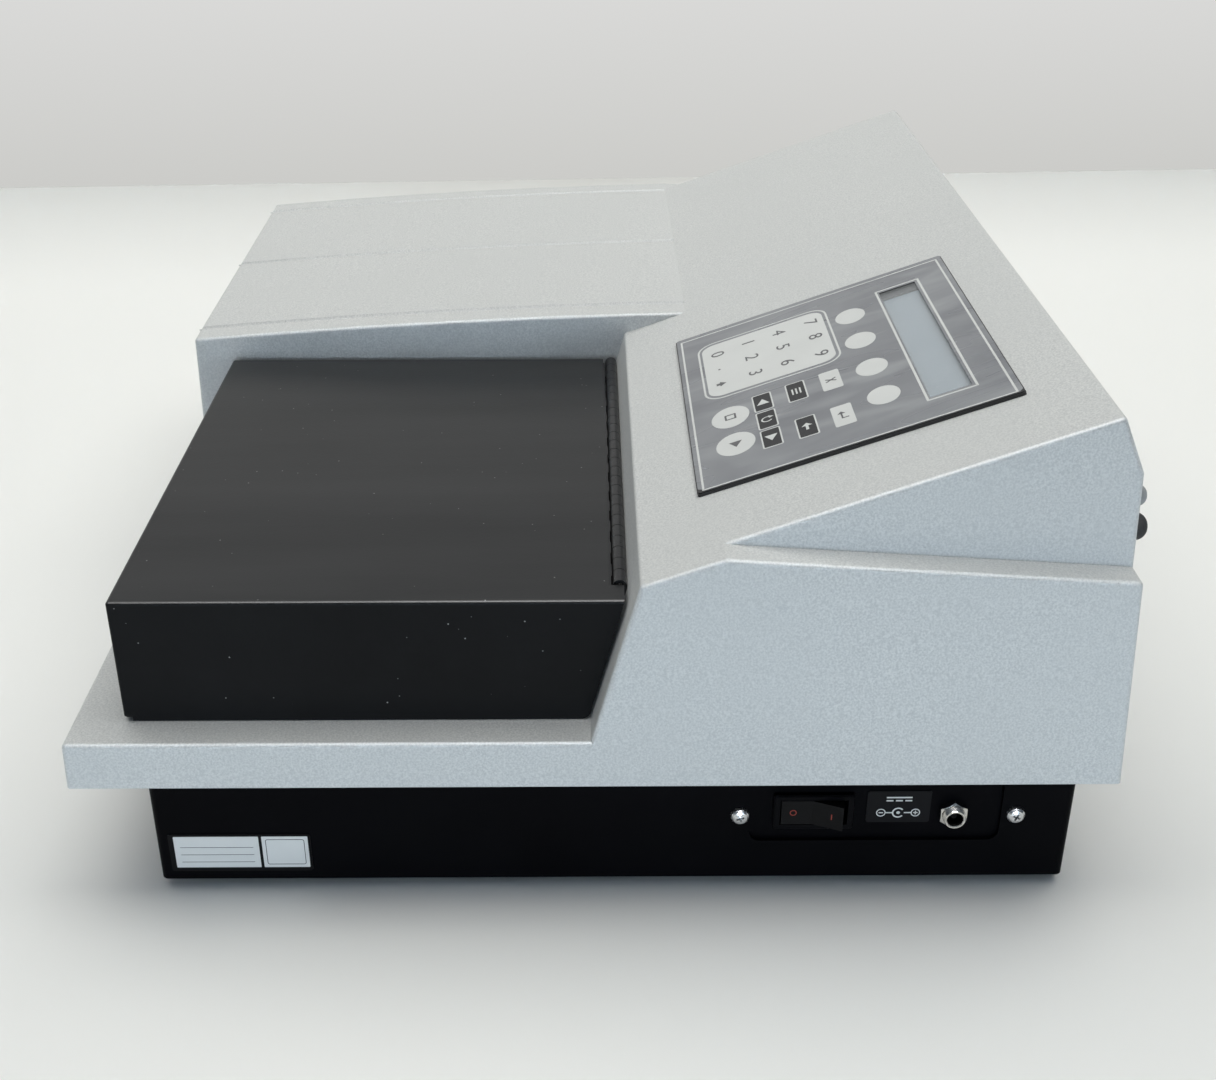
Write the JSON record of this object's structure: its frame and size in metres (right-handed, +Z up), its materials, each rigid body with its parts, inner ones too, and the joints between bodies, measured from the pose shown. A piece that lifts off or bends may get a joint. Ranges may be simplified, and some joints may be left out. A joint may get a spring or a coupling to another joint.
{
  "type": "microplate reader",
  "caption": "Benchtop absorbance microplate reader: light cover, black hinged plate lid, sloping keypad console, belt-driven plate carrier, lamp and filter optics.",
  "frame": {"origin": "on the bench, under the centre of the whole instrument", "axes": "+X to the operator's right, +Y to the rear, +Z up"},
  "size_m": [0.4254, 0.3458, 0.1708],
  "materials": {
    "anodised_black": "black anodised",
    "backer_film": "membrane switch laminate",
    "belt_rubber": "toothed belt",
    "black_coat": "matt black powder coat",
    "black_plastic": "semi-matt",
    "black_steel": "satin black enamel",
    "board_green": "green solder resist",
    "bracket_aluminium": "folded sheet and machined bar",
    "bright_steel": "ground steel",
    "bulb_glass": "clear bulb",
    "bumper_rubber": "matt rubber",
    "bushing_bronze": "sintered bronze",
    "carrier_plastic": "black moulding",
    "clip_plastic": "white acetal",
    "component_black": "moulded packages",
    "cover_plastic": "moulded light grey, fine speckled texture",
    "diode_dark": "dark epoxy",
    "filter_glass": "coated interference filter",
    "foot_rubber": "matt rubber",
    "hinge_black": "blackened steel, worn bright at the edges",
    "label_film": "printed film with white panels",
    "lamp_aluminium": "finned casting",
    "lcd_module": "unlit liquid crystal display with a dark frame",
    "lens_glass": "clear lens",
    "motor_black": "black motor case",
    "nickel": "nickel plate",
    "overlay_film": "black printed film under a hazy grey protective film",
    "plate_film": "printed film",
    "plug_plastic": "mid grey",
    "port_shell": "tin plated shell",
    "pulley_aluminium": "turned",
    "ribbon_grey": "flat cable",
    "rocker_plastic": "semi-gloss",
    "standoff_steel": "zinc plated",
    "window_clear": "clear window",
    "zinc_screw": "bright zinc plate"
  },
  "bodies": {
    "housing": {"board_components": "component_black", "board_standoffs": "standoff_steel", "carrier_motor": "motor_black", "chassis_tray": "black_steel", "cover_screws": "bright_steel", "data_label": "label_film", "detector_board": "board_green", "display_module": "lcd_module", "display_ribbon": "ribbon_grey", "display_window": "window_clear", "drive_belt": "belt_rubber", "filter_motor": "motor_black", "foot_front_left": "foot_rubber", "foot_front_right": "foot_rubber", "foot_rear_left": "foot_rubber", "foot_rear_right": "foot_rubber", "guide_rod_front": "bright_steel", "guide_rod_rear": "bright_steel", "hinge_fixed_leaf": "hinge_black", "hinge_pin": "bright_steel", "hinge_screws": "hinge_black", "idler_bracket": "bracket_aluminium", "jack_body": "black_plastic", "jack_nut": "nickel", "keypad_backer": "backer_film", "keypad_overlay": "overlay_film", "lamp_bracket": "bracket_aluminium", "lamp_bulb": "bulb_glass", "lamp_housing": "lamp_aluminium", "lens_block": "anodised_black", "lenses": "lens_glass", "main_board": "board_green", "motor_bracket": "bracket_aluminium", "optics_bridge": "bracket_aluminium", "panel_screws": "zinc_screw", "parallel_port": "port_shell", "photodiodes": "diode_dark", "port_jackscrews": "nickel", "power_board": "board_green", "power_panel": "black_steel", "rating_plate": "plate_film", "rear_bumpers": "bumper_rubber", "rear_plugs": "plug_plastic", "rod_bracket_left": "bracket_aluminium", "rod_bracket_right": "bracket_aluminium", "serial_port": "port_shell", "switch_body": "black_plastic", "top_cover": "cover_plastic"},
    "lid": {"lid_shell": "black_coat", "hinge_moving_leaf": "hinge_black"},
    "carrier": {"carrier_tray": "carrier_plastic", "carrier_bushings": "bushing_bronze", "belt_clamp": "bracket_aluminium"},
    "clip": {"plate_clip": "clip_plastic"},
    "drive_wheel": {"drive_pulley": "pulley_aluminium"},
    "idler_wheel": {"idler_pulley": "pulley_aluminium"},
    "filter_turret": {"filter_wheel": "anodised_black", "filter_glasses": "filter_glass"},
    "rocker": {"power_rocker": "rocker_plastic"}
  },
  "joints": [
    {"name": "lid_hinge", "type": "hinge", "parent": "housing", "child": "lid", "pos_m": [0.0918, 0.00689, 0.1084], "axis": [-1, 0, 0], "range_deg": [0, 108]},
    {"name": "carrier_slide", "type": "slide", "parent": "housing", "child": "carrier", "axis": [-1, 0, 0], "range_m": [0, 0.208]},
    {"name": "drive_pulley_spin", "type": "hinge", "parent": "housing", "child": "drive_wheel", "pos_m": [-0.176, -0.01291, 0.032], "axis": [0, -1, 0], "range_deg": [0, 1780]},
    {"name": "idler_pulley_spin", "type": "hinge", "parent": "housing", "child": "idler_wheel", "pos_m": [0.168, -0.01291, 0.032], "axis": [0, -1, 0], "range_deg": [0, 1780]},
    {"name": "filter_wheel_spin", "type": "hinge", "parent": "housing", "child": "filter_turret", "pos_m": [-0.094, -0.07891, 0.087], "axis": [0, 0, 1], "continuous": true},
    {"name": "rocker_tilt", "type": "hinge", "parent": "housing", "child": "rocker", "pos_m": [0.2027, 0.07199, 0.0308], "axis": [0, 0, 1], "range_deg": [0, 22]},
    {"name": "clip_pivot", "type": "hinge", "parent": "carrier", "child": "clip", "pos_m": [0.0262, -0.09996, 0.05325], "axis": [0, 0, -1], "range_deg": [0, 15], "stiffness_Nm_per_rad": 0.02}
  ],
  "couplings": [
    {"joint": "drive_pulley_spin", "follows": "carrier_slide", "rad_per_m": 149.25},
    {"joint": "idler_pulley_spin", "follows": "carrier_slide", "rad_per_m": 149.25}
  ]
}
